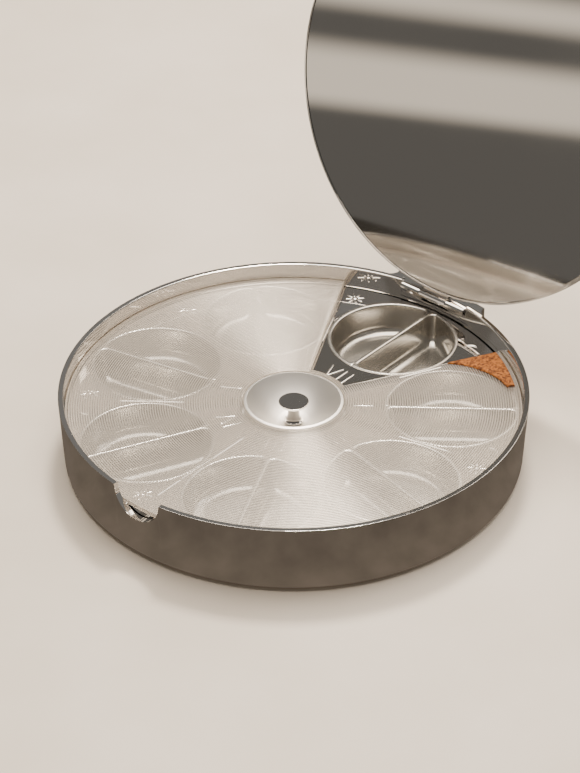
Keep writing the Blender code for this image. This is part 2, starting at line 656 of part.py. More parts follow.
def make_spindle():
    groove_low = CLIP_BOTTOM - CLEARANCE
    groove_top = CLIP_BOTTOM + CLIP_THICKNESS + CLEARANCE
    shoulder = DISH_FLOOR
    tip = knob_top() - 0.0020
    profile = [(0, tip), (SPINDLE_TIP, tip), (SPINDLE_TIP, shoulder), (SPINDLE_RADIUS, shoulder)]
    profile += [(SPINDLE_RADIUS, groove_top), (GROOVE_RADIUS, groove_top), (GROOVE_RADIUS, groove_low)]
    profile += [(SPINDLE_RADIUS, groove_low), (SPINDLE_RADIUS, CASE_BOTTOM + 0.0001), (0, CASE_BOTTOM + 0.0001)]
    spindle = turned(profile, closed=False, steps=SMALL_STEPS)
    spindle.parent = tray_axis
    finish_part(spindle, "spindle", satin)


def knob_top():
    return COVER_TOP - KNOB_BELOW_COVER


def make_knob():
    """Flat head, thin neck and a foot that flares out on the dish."""
    top = knob_top()
    foot = DISH_FLOOR + CLEARANCE
    bore = SPINDLE_TIP + CLEARANCE
    profile = [(0, top), (KNOB_RADIUS - 0.0003, top), (KNOB_RADIUS, top - 0.0003)]
    profile += [(KNOB_RADIUS - 0.0004, top - KNOB_HEAD), (KNOB_NECK + 0.0006, top - KNOB_HEAD - 0.0006)]
    for i in range(5):
        share = i / 4
        profile.append((KNOB_NECK + (KNOB_FOOT - KNOB_NECK) * share ** 3,
                        top - KNOB_HEAD - 0.0014 - (top - KNOB_HEAD - 0.0022 - foot) * share))
    profile += [(KNOB_FOOT - 0.0004, foot), (bore, foot), (bore, top - 0.0017), (0, top - 0.0017)]
    knob = turned(profile, closed=False, steps=24)
    knob.parent = tray_axis
    finish_part(knob, "knob", steel)


def make_index_wheel():
    profile = [(BORE, WHEEL_BOTTOM + WHEEL_THICKNESS), (WHEEL_RADIUS, WHEEL_BOTTOM + WHEEL_THICKNESS)]
    profile += [(WHEEL_RADIUS, WHEEL_BOTTOM), (BORE, WHEEL_BOTTOM)]
    wheel = turned(profile, closed=True, steps=42)
    for index in range(POCKETS):
        angle = index * SECTOR + pi / 2
        place = (WHEEL_RADIUS * 1.06 * sin(angle), WHEEL_RADIUS * 1.06 * cos(angle), WHEEL_BOTTOM - 0.001)
        cut(wheel, rod(WHEEL_NOTCH, place, WHEEL_THICKNESS + 0.002, 'Z', 12), f"cut_wheel_{index + 1}")
    wheel.parent = tray_axis
    finish_part(wheel, "index_wheel", polymer)


def make_washer():
    profile = [(BORE, WASHER_BOTTOM + WASHER_THICKNESS), (WASHER_RADIUS, WASHER_BOTTOM + WASHER_THICKNESS)]
    profile += [(WASHER_RADIUS, WASHER_BOTTOM), (BORE, WASHER_BOTTOM)]
    washer = turned(profile, closed=True, steps=SMALL_STEPS)
    washer.parent = tray_axis
    finish_part(washer, "thrust_washer", polymer)


def make_clip():
    inner = GROOVE_RADIUS + CLEARANCE
    profile = [(inner, CLIP_BOTTOM + CLIP_THICKNESS), (CLIP_RADIUS, CLIP_BOTTOM + CLIP_THICKNESS)]
    profile += [(CLIP_RADIUS, CLIP_BOTTOM), (inner, CLIP_BOTTOM)]
    clip = turned(profile, closed=True, steps=SMALL_STEPS)
    mouth = box((0, -0.0012, CLIP_BOTTOM - 0.001), (0.010, 0.0012, CLIP_BOTTOM + 0.003))
    mouth.parent = tray_axis
    cut(clip, mouth, "cut_clip_mouth")
    clip.parent = tray_axis
    finish_part(clip, "retaining_clip", steel)


# ---------------------------------------------------------------- lid, modelled shut and turned open
def on_hinge(obj):
    """Hang a piece that was modelled shut on the hinge's axis."""
    obj.parent = lid_axis
    obj.location = (obj.location.x, obj.location.y - HINGE_Y, obj.location.z - HINGE_Z)
    return obj


def flange_box(grow, low, top, outer_y):
    half = ARM_WIDTH / 2 - CLEARANCE + grow
    inner_y = LID_CENTRE_Y + LID_RADIUS - FLANGE_LENGTH - grow
    return box((-half, inner_y, low), (half, outer_y, top))


def make_lid_shell():
    lip = LID_RADIUS - LID_LIP
    edge = 0.0005
    profile = [(0, LID_TOP), (LID_RADIUS - edge, LID_TOP), (LID_RADIUS, LID_TOP - edge)]
    profile += [(LID_RADIUS, LID_FACE + 0.0003), (LID_RADIUS - 0.0003, LID_FACE), (lip, LID_FACE)]
    profile += [(lip, SEAT_Z), (0, SEAT_Z)]
    shell = turned(profile, closed=False, centre=(0, LID_CENTRE_Y))
    pocket = flange_box(CLEARANCE, SEAT_Z, SEAT_Z + FLANGE_THICKNESS + CLEARANCE, HINGE_Y)
    cut(shell, on_hinge(pocket), "cut_lid_flange")
    finish_part(on_hinge(shell), "lid_shell", steel)


def make_mirror():
    mirror = rod(MIRROR_RADIUS, (0, LID_CENTRE_Y, MIRROR_FACE), MIRROR_THICKNESS, 'Z', STEPS)
    finish_part(on_hinge(mirror), "lid_mirror", mirror_glass)


def make_arm():
    """Knuckle on the pin and a flange that lies between the mirror and the shell."""
    half = ARM_WIDTH / 2
    arm = rod(KNUCKLE_RADIUS, (-half, HINGE_Y, HINGE_Z), ARM_WIDTH, 'X', 20)
    flange = flange_box(0, SEAT_Z, SEAT_Z + FLANGE_THICKNESS, HINGE_Y)
    join(arm, on_hinge(flange), "join_arm_flange")
    cut(arm, on_hinge(rod(PIN_RADIUS + CLEARANCE, (-half - 0.001, HINGE_Y, HINGE_Z), ARM_WIDTH + 0.002, 'X', 16)),
        "cut_arm_pin")
    finish_part(on_hinge(arm), "lid_arm", steel)


clear_scene()
parts = make_collection("rotary_organiser")
cutters = make_collection("cutters")

steel = make_material("polished_steel", (0.62, 0.60, 0.58), 1.0, 0.08)
brushed = make_material("drawn_steel", (0.60, 0.57, 0.54), 1.0, 0.18)
satin = make_material("satin_steel", (0.66, 0.64, 0.61), 1.0, 0.30)
mirror_glass = make_material("mirror", (0.75, 0.73, 0.70), 1.0, 0.03)
frosted = make_material("frosted_polymer", (0.80, 0.77, 0.74), 0.0, 0.35)
cork = make_material("cork", (0.48, 0.17, 0.04), 0.0, 0.85)
polymer = make_material("acetal", (0.80, 0.79, 0.76), 0.0, 0.40)
rubber = make_material("silicone_rubber", (0.05, 0.05, 0.05), 0.0, 0.80)

tray_axis = bpy.data.objects.new("tray_axis", None)
lid_axis = bpy.data.objects.new("lid_axis", None)
for empty in (tray_axis, lid_axis):
    bpy.context.scene.collection.objects.link(empty)
lid_axis.location = (0, HINGE_Y, HINGE_Z)
lid_axis.rotation_euler = (-OPEN_ANGLE, 0, 0)

for make in (make_case, make_pad, make_cover, make_dish, make_patch, make_bush, make_index_spring,
             make_spring_screw, make_hinge_block, make_block_screws, make_pin, make_tray_plate, make_cups,
             make_hub, make_hub_screws, make_spindle, make_knob, make_index_wheel, make_washer, make_clip,
             make_lid_shell, make_mirror, make_arm):
    make()
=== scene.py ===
from math import cos, pi, radians, sin, sqrt

import bmesh
import bpy
import numpy as np
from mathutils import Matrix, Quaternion, Vector


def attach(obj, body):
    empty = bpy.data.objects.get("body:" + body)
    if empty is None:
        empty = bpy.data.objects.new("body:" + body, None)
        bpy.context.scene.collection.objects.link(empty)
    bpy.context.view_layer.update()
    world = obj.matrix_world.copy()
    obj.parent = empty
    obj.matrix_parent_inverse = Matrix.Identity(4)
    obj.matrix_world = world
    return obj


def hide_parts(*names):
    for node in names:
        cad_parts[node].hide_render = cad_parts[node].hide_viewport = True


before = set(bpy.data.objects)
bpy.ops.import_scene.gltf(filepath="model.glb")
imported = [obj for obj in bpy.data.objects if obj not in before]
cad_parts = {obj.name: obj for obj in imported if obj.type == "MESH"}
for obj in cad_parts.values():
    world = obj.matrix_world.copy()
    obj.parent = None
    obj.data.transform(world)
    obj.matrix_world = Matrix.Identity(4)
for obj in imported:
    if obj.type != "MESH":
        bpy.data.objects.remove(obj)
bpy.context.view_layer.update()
print("frame loaded")

mm = 0.001                        # sizes in the dictionaries are in millimetres, meshes in metres
caseHeight = 27.5
pocketCount = 7
sector = 2 * pi / pocketCount


def linear(hexCode):
    # sRGB hex to linear light: each channel above 0.04 is ((c + 0.055) / 1.055) to the power 2.4
    channels = np.array([int(hexCode[i:i + 2], 16) for i in (1, 3, 5)]) / 255
    values = np.where(channels > 0.04045, ((channels + 0.055) / 1.055) ** 2.4, channels / 12.92)
    return (*values.tolist(), 1.0)


def perMetre(sizeMm):
    # texture scale whose cells are this many millimetres across
    return 1 / (sizeMm * mm)


def ringScale(spacingMm):
    # a wave texture repeats every 2 pi / 20 units at scale 1
    return 2 * pi / 20 * perMetre(spacingMm)


def addNode(tree, kind, settings=None, inputs=None, links=None):
    node = tree.nodes.new(kind)
    for name, value in (settings or {}).items():
        setattr(node, name, value)
    for name, value in (inputs or {}).items():
        node.inputs[name].default_value = value
    for name, source in (links or {}).items():
        tree.links.new(source, node.inputs[name])
    return node


def newMaterial(name, **sockets):
    material = bpy.data.materials.new(name)
    material.use_nodes = True
    shader = material.node_tree.nodes["Principled BSDF"]
    for socket, value in sockets.items():
        shader.inputs[socket.replace("_", " ")].default_value = value
    return material, material.node_tree, shader


def setRamp(colours, stops):
    # colour ramp through (position, hex) stops
    elements = colours.color_ramp.elements
    for element, (position, tone) in zip(elements, (stops[0], stops[-1])):
        element.position, element.color = position, linear(tone)
    for position, tone in stops[1:-1]:
        elements.new(position).color = linear(tone)


def meshObject(name, verts, quads, sharp=35):
    # equal points are merged, so poles and seams close
    mesh = bpy.data.meshes.new(name)
    mesh.from_pydata((verts * mm).tolist(), [], quads.tolist())
    work = bmesh.new()
    work.from_mesh(mesh)
    bmesh.ops.remove_doubles(work, verts=work.verts, dist=0.0008 * mm)
    bmesh.ops.recalc_face_normals(work, faces=work.faces)
    work.to_mesh(mesh)
    work.free()
    mesh.shade_smooth()
    mesh.set_sharp_from_angle(angle=radians(sharp))
    obj = bpy.data.objects.new(name, mesh)
    bpy.context.scene.collection.objects.link(obj)
    return obj


def gridQuads(rows, columns):
    index = np.arange(rows * columns).reshape(rows, columns)
    return np.stack([index[:-1, :-1], index[:-1, 1:], index[1:, 1:], index[1:, :-1]], -1).reshape(-1, 4)


def gridObject(name, points, sharp=35):
    rows, columns = points.shape[:2]
    return meshObject(name, points.reshape(-1, 3), gridQuads(rows, columns), sharp)


def joinGrids(name, grids, sharp=35):
    # several grids as one mesh
    start = 0
    verts, quads = [], []
    for grid in grids:
        rows, columns = grid.shape[:2]
        verts.append(grid.reshape(-1, 3))
        quads.append(gridQuads(rows, columns) + start)
        start += rows * columns
    return meshObject(name, np.concatenate(verts), np.concatenate(quads), sharp)


def roundPath(corners, steps=4):
    # corners are (r, z, radius): each becomes a quadratic curve between the points one radius along its two
    # sides, with one more point just outside each end, so that long flat faces are shaded flat
    path = []
    points = [np.array(c[:2], float) for c in corners]
    for i, (corner, point) in enumerate(zip(corners, points)):
        radius = corner[2] if len(corner) > 2 else 0
        if radius == 0 or i in (0, len(corners) - 1):
            path.append(point[None])
            continue
        before, after = points[i - 1] - point, points[i + 1] - point
        room = [min(radius * 0.3, np.linalg.norm(side) / 2 - radius) for side in (before, after)]
        before, after = before / np.linalg.norm(before), after / np.linalg.norm(after)
        start, end = point + before * radius, point + after * radius
        t = np.linspace(0, 1, steps + 1)[:, None]
        path += [(start + before * room[0])[None]] if room[0] > 0.01 else []
        path.append((1 - t) ** 2 * start + 2 * t * (1 - t) * point + t ** 2 * end)
        path += [(end + after * room[1])[None]] if room[1] > 0.01 else []
    return np.concatenate(path)


def turn(path, count=128, centre=(0, 0)):
    # lathe: each (r, z) of the path goes round the centre, x = r sin a and y = r cos a
    a = np.linspace(0, 2 * pi, count + 1)
    r, z = path[:, :1], path[:, 1:2]
    return np.stack([centre[0] + r * np.sin(a), centre[1] + r * np.cos(a), z + 0 * a], -1)


def spun(points, angle):
    # turned clockwise about the tray's axis, seen from above: x' = x cos a + y sin a, y' = y cos a - x sin a
    x, y, z = points[..., 0], points[..., 1], points[..., 2]
    return np.stack([x * cos(angle) + y * sin(angle), -x * sin(angle) + y * cos(angle), z], -1)


def place(obj, body, material, slotName, *nodes):
    obj.data.materials.clear()
    obj.data.materials.append(material)
    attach(obj, body)
    if nodes:
        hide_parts(*nodes)
    return obj


def polishedSteel():
    # stainless steel, pressed and mirror polished: a clear reflection with a trace of polishing haze
    look = {"tint": "#EDE9E4", "roughness": 0.04, "haze": 0.06, "swirlMm": 13.2}
    material, tree, shader = newMaterial("mirrorPolishedStainless", Base_Color=linear(look["tint"]),
                                         Metallic=1.0, Roughness=look["roughness"])
    coords = addNode(tree, "ShaderNodeTexCoord")
    noise = addNode(tree, "ShaderNodeTexNoise", inputs={"Scale": perMetre(look["swirlMm"]), "Detail": 4.0},
                    links={"Vector": coords.outputs["Object"]})
    haze = addNode(tree, "ShaderNodeMapRange", links={"Value": noise.outputs["Fac"]},
                   inputs={"From Min": 0.35, "From Max": 0.75, "To Min": look["roughness"],
                           "To Max": look["haze"]})
    tree.links.new(haze.outputs["Result"], shader.inputs["Roughness"])
    return material


def drawnSteel():
    # stainless steel cups, deep drawn and tumbled: soft bright reflections that blur along the walls
    look = {"tint": "#CDC9C2", "roughness": 0.25, "grainMm": 36, "grainDepth": 0.004}
    material, tree, shader = newMaterial("deepDrawnStainless", Base_Color=linear(look["tint"]), Metallic=1.0,
                                         Roughness=look["roughness"])
    coords = addNode(tree, "ShaderNodeTexCoord")
    noise = addNode(tree, "ShaderNodeTexNoise", inputs={"Scale": perMetre(look["grainMm"]), "Detail": 2.0},
                    links={"Vector": coords.outputs["Object"]})
    bump = addNode(tree, "ShaderNodeBump", inputs={"Strength": 0.25, "Distance": look["grainDepth"] * mm},
                   links={"Height": noise.outputs["Fac"]})
    tree.links.new(bump.outputs["Normal"], shader.inputs["Normal"])
    return material


def satinSteel():
    # turned stainless steel, satin finished: fine rings left by the tool and a wide soft gloss
    look = {"tint": "#EFEBE5", "roughness": 0.44, "ringMm": 0.5, "ringDepth": 0.002}
    material, tree, shader = newMaterial("satinTurnedStainless", Base_Color=linear(look["tint"]), Metallic=1.0,
                                         Roughness=look["roughness"])
    coords = addNode(tree, "ShaderNodeTexCoord")
    rings = addNode(tree, "ShaderNodeTexWave", {"wave_type": "RINGS", "rings_direction": "Z"},
                    {"Scale": ringScale(look["ringMm"]), "Distortion": 0.4},
                    {"Vector": coords.outputs["Object"]})
    bump = addNode(tree, "ShaderNodeBump", inputs={"Strength": 0.3, "Distance": look["ringDepth"] * mm},
                   links={"Height": rings.outputs["Fac"]})
    tree.links.new(bump.outputs["Normal"], shader.inputs["Normal"])
    return material


def knobSteel():
    # turned stainless steel: head and foot polished bright; the neck between them is tinted darker as painted
    # shade under the head, standing in for its darker reflections
    look = {"tint": "#D3CFC9", "neck": "#6E6A65", "roughness": 0.05, "from": 12.9, "to": 19.2, "blend": 0.5}
    material, tree, shader = newMaterial("turnedKnobStainless", Metallic=1.0, Roughness=look["roughness"])
    coords = addNode(tree, "ShaderNodeTexCoord")
    parts = addNode(tree, "ShaderNodeSeparateXYZ", links={"Vector": coords.outputs["Object"]})
    low = addNode(tree, "ShaderNodeMapRange", links={"Value": parts.outputs["Z"]},
                  inputs={"From Min": look["from"] * mm, "From Max": (look["from"] + look["blend"]) * mm})
    high = addNode(tree, "ShaderNodeMapRange", links={"Value": parts.outputs["Z"]},
                   inputs={"From Min": look["to"] * mm, "From Max": (look["to"] + look["blend"]) * mm,
                           "To Min": 1.0, "To Max": 0.0})
    neck = addNode(tree, "ShaderNodeMath", {"operation": "MULTIPLY"},
                   links={0: low.outputs["Result"], 1: high.outputs["Result"]})
    # painted shade: the neck's darker tone stands in for the shade and dark reflections under the head
    tones = addNode(tree, "ShaderNodeValToRGB", links={"Fac": neck.outputs["Value"]})
    setRamp(tones, [(0.0, look["tint"]), (1.0, look["neck"])])
    tree.links.new(tones.outputs["Color"], shader.inputs["Base Color"])
    return material


def lappedPlate():
    # lapped and polished metal plate in the lid: a clear reflection, faintly smeared by wiping
    look = {"tint": "#D8D5D0", "roughness": 0.03, "smear": 0.06, "smearMm": 84}
    material, tree, shader = newMaterial("lappedMirrorPlate", Base_Color=linear(look["tint"]), Metallic=1.0,
                                         Roughness=look["roughness"])
    coords = addNode(tree, "ShaderNodeTexCoord")
    noise = addNode(tree, "ShaderNodeTexNoise", inputs={"Scale": perMetre(look["smearMm"]), "Detail": 3.0},
                    links={"Vector": coords.outputs["Object"]})
    smear = addNode(tree, "ShaderNodeMapRange", links={"Value": noise.outputs["Fac"]},
                    inputs={"From Min": 0.4, "From Max": 0.8, "To Min": look["roughness"],
                            "To Max": look["smear"]})
    tree.links.new(smear.outputs["Result"], shader.inputs["Roughness"])
    return material


def frostedPolymer():
    # clear copolyester moulded against a finely grooved tool: milky, half see-through, with rings that catch
    # the light in long streaks. Real grooves are about 0.2 mm apart; they are drawn coarser so that they show
    look = {"tint": "#F3E9DC", "roughness": 0.3, "ringMm": 0.9, "ringDepth": 0.05, "clear": 0.08,
            "milky": 0.4, "metallic": 0.35, "stretch": 0.95, "edge": 0.9}
    material, tree, shader = newMaterial("grooveFrostedCopolyester", Base_Color=linear(look["tint"]),
                                         Roughness=look["roughness"], IOR=1.57, Metallic=look["metallic"],
                                         Anisotropic=look["stretch"])
    coords = addNode(tree, "ShaderNodeTexCoord")
    rings = addNode(tree, "ShaderNodeTexWave", {"wave_type": "RINGS", "rings_direction": "Z"},
                    {"Scale": ringScale(look["ringMm"])}, {"Vector": coords.outputs["Object"]})
    bump = addNode(tree, "ShaderNodeBump", inputs={"Strength": 0.5, "Distance": look["ringDepth"] * mm},
                   links={"Height": rings.outputs["Fac"]})
    cover = addNode(tree, "ShaderNodeMapRange", inputs={"To Min": look["clear"], "To Max": look["milky"]},
                    links={"Value": rings.outputs["Fac"]})
    facing = addNode(tree, "ShaderNodeNewGeometry")
    parts = addNode(tree, "ShaderNodeSeparateXYZ", links={"Vector": facing.outputs["Normal"]})
    level = addNode(tree, "ShaderNodeMath", {"operation": "ABSOLUTE"}, links={0: parts.outputs["Z"]})
    edges = addNode(tree, "ShaderNodeMapRange", inputs={"From Min": 0.6, "From Max": 0.995,
                    "To Min": look["edge"], "To Max": 0.0}, links={"Value": level.outputs["Value"]})
    solid = addNode(tree, "ShaderNodeMath", {"operation": "MAXIMUM"},
                    links={0: cover.outputs["Result"], 1: edges.outputs["Result"]})
    tree.links.new(bump.outputs["Normal"], shader.inputs["Normal"])
    tree.links.new(coords.outputs["Object"], shader.inputs["Tangent"])
    tree.links.new(solid.outputs["Value"], shader.inputs["Alpha"])
    return material


def granulatedCork():
    # agglomerated cork, orange-brown grains pressed in binder: rough and matt
    look = {"dark": "#5A2B0C", "light": "#B8702F", "roughness": 0.85, "grainMm": 0.75, "grainDepth": 0.4}
    material, tree, shader = newMaterial("pressedGranulatedCork", Roughness=look["roughness"])
    coords = addNode(tree, "ShaderNodeTexCoord")
    grains = addNode(tree, "ShaderNodeTexVoronoi", inputs={"Scale": perMetre(look["grainMm"])},
                     links={"Vector": coords.outputs["Object"]})
    noise = addNode(tree, "ShaderNodeTexNoise", inputs={"Scale": perMetre(look["grainMm"]), "Detail": 3.0},
                    links={"Vector": coords.outputs["Object"]})
    tone = addNode(tree, "ShaderNodeMath", {"operation": "ADD"},
                   links={0: grains.outputs["Distance"], 1: noise.outputs["Fac"]})
    colours = addNode(tree, "ShaderNodeValToRGB", links={"Fac": grains.outputs["Color"]})
    setRamp(colours, [(0.15, look["dark"]), (0.75, look["light"])])
    bump = addNode(tree, "ShaderNodeBump", inputs={"Strength": 0.8, "Distance": look["grainDepth"] * mm},
                   links={"Height": tone.outputs["Value"]})
    tree.links.new(colours.outputs["Color"], shader.inputs["Base Color"])
    tree.links.new(bump.outputs["Normal"], shader.inputs["Normal"])
    return material


def mouldedAcetal():
    # white acetal, injection moulded: smooth, slightly waxy
    look = {"tint": "#D8D5CC", "roughness": 0.38, "skinMm": 10 / 9, "skinDepth": 0.02}
    material, tree, shader = newMaterial("mouldedAcetal", Base_Color=linear(look["tint"]),
                                         Roughness=look["roughness"])
    coords = addNode(tree, "ShaderNodeTexCoord")
    noise = addNode(tree, "ShaderNodeTexNoise", inputs={"Scale": perMetre(look["skinMm"]), "Detail": 2.0},
                    links={"Vector": coords.outputs["Object"]})
    bump = addNode(tree, "ShaderNodeBump", inputs={"Strength": 0.2, "Distance": look["skinDepth"] * mm},
                   links={"Height": noise.outputs["Fac"]})
    tree.links.new(bump.outputs["Normal"], shader.inputs["Normal"])
    return material


def siliconeSheet():
    # black silicone sheet, pressed between textured plates: dead matt with a fine grain
    look = {"tint": "#2A2826", "roughness": 0.75, "grainMm": 2 / 3, "grainDepth": 0.05}
    material, tree, shader = newMaterial("pressedSiliconeSheet", Base_Color=linear(look["tint"]),
                                         Roughness=look["roughness"])
    coords = addNode(tree, "ShaderNodeTexCoord")
    noise = addNode(tree, "ShaderNodeTexNoise", inputs={"Scale": perMetre(look["grainMm"]), "Detail": 2.0},
                    links={"Vector": coords.outputs["Object"]})
    bump = addNode(tree, "ShaderNodeBump", inputs={"Strength": 0.5, "Distance": look["grainDepth"] * mm},
                   links={"Height": noise.outputs["Fac"]})
    tree.links.new(bump.outputs["Normal"], shader.inputs["Normal"])
    return material


steel = polishedSteel()
cupSteel = drawnSteel()
satin = satinSteel()
knobFinish = knobSteel()
mirrorPlate = lappedPlate()
frosted = frostedPolymer()
cork = granulatedCork()
acetal = mouldedAcetal()
silicone = siliconeSheet()
print("materials ready")


# case: one profile carried round the axis, its top cut down at the notch and at the hinge

caseShape = {"rim": 86.0, "wall": 84.0, "middle": 85.0, "base": 84.8, "edge": 0.1, "lead": 0.6,
             "baseRound": 1.6, "underside": 1.3, "recess": 6.5, "recessTop": 2.7, "bore": 3.7, "floor": 3.8,
             "floorRound": 2.0, "lower": 82.4, "lowerTop": 15.3, "ledge": 83.4, "ledgeFoot": 17.3,
             "ledgeRound": 0.5, "ledgeTop": 19.8, "notchRadius": 10.2, "notchAngle": -88.7,
             "openingHalf": 15.8, "openingHeight": 20.2}


def caseColumns(s):
    # angle of each column and height of the wall there: rim - sqrt(R squared - s squared) across the notch
    t = np.linspace(-pi / 2, pi / 2, 61)
    notch = radians(s["notchAngle"]) + np.arcsin(s["notchRadius"] * np.sin(t) / s["middle"])
    notchTop = caseHeight - s["notchRadius"] * np.cos(t)
    half = np.arcsin(s["openingHalf"] / s["middle"])
    right = np.linspace(notch[-1], pi / 2 - half, 170)
    opening = np.linspace(pi / 2 - half, pi / 2 + half, 24)
    left = np.linspace(pi / 2 + half, notch[0] + 2 * pi, 170)
    angles = np.concatenate([notch, right, opening, left])
    tops = np.concatenate([notchTop, right * 0 + caseHeight, opening * 0 + s["openingHeight"],
                           left * 0 + caseHeight])
    return angles, tops


def makeCase():
    # x = r cos a and y = r sin a, with the height no more than the wall's top at that angle
    s = caseShape
    path = roundPath([(s["middle"], caseHeight), (s["rim"], caseHeight, s["edge"]),
                      (s["base"], s["underside"], s["baseRound"]), (s["recess"], s["underside"]),
                      (s["recess"], s["recessTop"]), (s["bore"], s["recessTop"]), (s["bore"], s["floor"]),
                      (s["lower"], s["floor"], s["floorRound"]), (s["lower"], s["lowerTop"]),
                      (s["ledge"], s["ledgeFoot"], s["ledgeRound"]), (s["ledge"], s["ledgeTop"]),
                      (s["wall"], s["ledgeTop"]), (s["wall"], caseHeight, s["lead"]),
                      (s["middle"], caseHeight)], steps=6)
    angles, tops = caseColumns(s)
    r, z = path[:, :1], path[:, 1:2]
    height = np.minimum(z, tops)
    points = np.stack([r * np.cos(angles), r * np.sin(angles), height], -1)
    place(gridObject("caseShell", points), "case", steel, "polished_steel", "case_body")


# frosted cover: the same idea, with the outer radius pulled in across the window

coverShape = {"inner": 18.8, "outer": 83.7, "windowInner": 20.5, "top": 21.6, "bottom": 20.1, "seam": 30.0,
              "seat": 17.6, "seatTop": 20.6, "bridgeMiddle": 19.6, "edgeRound": 0.6, "columns": 300}
windowShape = {"lean": sector / 2 + radians(2.1), "apex": 3.0}


def edgeAngle(r, inset=0.0):
    # angle at which the window's straight edge, or a line beside it, crosses radius r: lean - asin(offset / r)
    offset = windowShape["apex"] * sin(windowShape["lean"]) - inset
    return windowShape["lean"] - np.arcsin(offset / r)


def makeCover():
    # columns run round outside the window, then bridge it with every radius drawn in to the hub ring. The top
    # drops by edgeRound over the last columns beside the window
    s = coverShape
    path = roundPath([(s["seam"], s["top"]), (s["outer"], s["top"], 0.3), (s["outer"], s["bottom"], 0.2),
                      (s["seat"], s["bottom"]), (s["seat"], s["seatTop"]), (s["inner"], s["seatTop"]),
                      (s["inner"], s["top"], 0.25), (s["seam"], s["top"])])
    lean = s["edgeRound"] / s["outer"]
    share = np.concatenate([[0, lean * 0.15], np.linspace(lean * 0.5, 1 - lean * 0.5, s["columns"]),
                            [1 - lean * 0.15, 1]])
    bridge = np.linspace(-1, 1, 30)
    r, z = path[:, :1] + 0 * share, path[:, 1:2] + 0 * share
    half = edgeAngle(r)
    angles = half + (2 * pi - 2 * half) * share
    drop = np.zeros(len(share))
    drop[[0, -1]] = s["edgeRound"]
    drop[[1, -2]] = s["edgeRound"] * 0.25
    z = np.where((z > s["top"] - 0.01) & (r > s["windowInner"]), z - drop, z)
    low = path[:, :1] + 0 * bridge
    low = np.where(low > s["seam"], low - s["outer"] + s["windowInner"],
                   np.where(low == s["seam"], s["bridgeMiddle"], low))
    lowZ = path[:, 1:2] + 0 * bridge
    r, z = np.concatenate([r, low], 1), np.concatenate([z, lowZ], 1)
    angles = np.concatenate([angles, 2 * pi + bridge * edgeAngle(low)], 1)
    points = np.stack([r * np.sin(angles), r * np.cos(angles), z], -1)
    place(gridObject("frostedCover", points), "case", frosted, "frosted_polymer", "window_cover")


dishShape = {"bore": 2.6, "flat": 5.0, "lip": 17.4, "edge": 18.5, "floor": 11.9, "top": 21.6, "lipUnder": 20.9,
             "sheetOut": 0.5, "sheetDown": 0.72, "foot": 4.6, "under": 11.1}


def makeDish():
    # bowl: height grows as 0.35 share + 0.65 share squared from the flat to the lip; a sheet offset closes it
    s = dishShape
    share = np.linspace(0, 1, 24)
    r = s["flat"] + (s["lip"] - s["flat"]) * share
    z = s["floor"] + (s["top"] - s["floor"]) * (0.35 * share + 0.65 * share ** 2)
    r[0:2] = [s["flat"] - 0.6, s["flat"] + 0.5]              # a short rounding where the bowl meets its flat
    z[0:2] = [s["floor"], s["floor"] + 0.22]
    lip = roundPath([(s["lip"] - 0.02, s["top"] - 0.02), (s["lip"] + 0.1, s["top"], 0.1),
                     (s["edge"], s["top"] - 0.3, 0.25), (s["edge"], s["lipUnder"], 0.1),
                     (s["lip"] + 0.3, s["lipUnder"])])
    under = np.stack([r[::-1] + s["sheetOut"], z[::-1] - s["sheetDown"]], -1)[1:-2]
    foot = [[s["foot"], s["under"]], [s["bore"], s["under"]], [s["bore"], s["floor"]]]
    path = np.concatenate([[[s["bore"], s["floor"]]], np.stack([r, z], -1), lip, under, foot])
    place(gridObject("spunDish", turn(path, 144), 40), "case", satin, "satin_steel", "centre_dish")


knobShape = {"top": 20.8, "head": 5.6, "headUnder": 19.9, "collar": 2.7, "collarTop": 19.35, "neck": 2.15,
             "neckTop": 18.6, "neckFoot": 15.5, "flare": 2.6, "flareTop": 13.4, "foot": 3.65, "footTop": 12.6,
             "bottom": 12.2, "bore": 1.5, "boreTop": 19.1}


def makeKnob():
    # flat head, thin neck with a small collar and flared foot: a rounded profile carried round the axis
    s = knobShape
    path = roundPath([(0, s["top"]), (s["head"], s["top"], 0.22), (s["head"] - 0.15, s["headUnder"], 0.2),
                      (s["collar"], s["collarTop"], 0.4), (s["neck"], s["neckTop"], 0.5),
                      (s["neck"], s["neckFoot"], 1.5), (s["flare"], s["flareTop"], 0.8),
                      (s["foot"], s["footTop"], 0.2), (s["foot"] - 0.15, s["bottom"], 0.1),
                      (s["bore"], s["bottom"]), (s["bore"], s["boreTop"]), (0, s["boreTop"])], steps=6)
    place(gridObject("turnedKnob", turn(path, 96), 40), "tray", knobFinish, "polished_steel", "knob")


print("case, cover, dish and knob")


# tray: deck round seven pockets, and a double cup in each

trayShape = {"outer": 83.0, "inner": 19.5, "top": 19.3, "bottom": 17.7, "ring": 57.92, "hole": 24.45,
             "groove": 0.2, "grooveHalf": 0.3}


def deckReach(phi, s):
    # distance from the pocket's centre to its sector's edge along phi: the nearest of two lines and two arcs
    a, b = np.sin(phi), np.cos(phi)
    ring, half, never = s["ring"], sector / 2, 1e6
    lineGap = np.abs(a) * cos(half) - b * sin(half)
    line = np.where(lineGap > 1e-6, ring * sin(half) / np.maximum(lineGap, 1e-6), never)
    outer = -ring * b + np.sqrt(ring ** 2 * (b ** 2 - 1) + s["outer"] ** 2)
    inside = ring ** 2 * (b ** 2 - 1) + s["inner"] ** 2
    inner = np.where((inside > 0) & (b < 0), -ring * b - np.sqrt(np.maximum(inside, 0)), never)
    arc = np.minimum(outer, inner)
    return np.minimum(line, arc), arc <= line + 1e-6


def deckCorners(s):
    half = sector / 2
    corners = [np.arctan2(r * sin(half), r * cos(half) - s["ring"]) for r in (s["outer"], s["inner"])]
    return np.array(corners + [-c for c in corners])


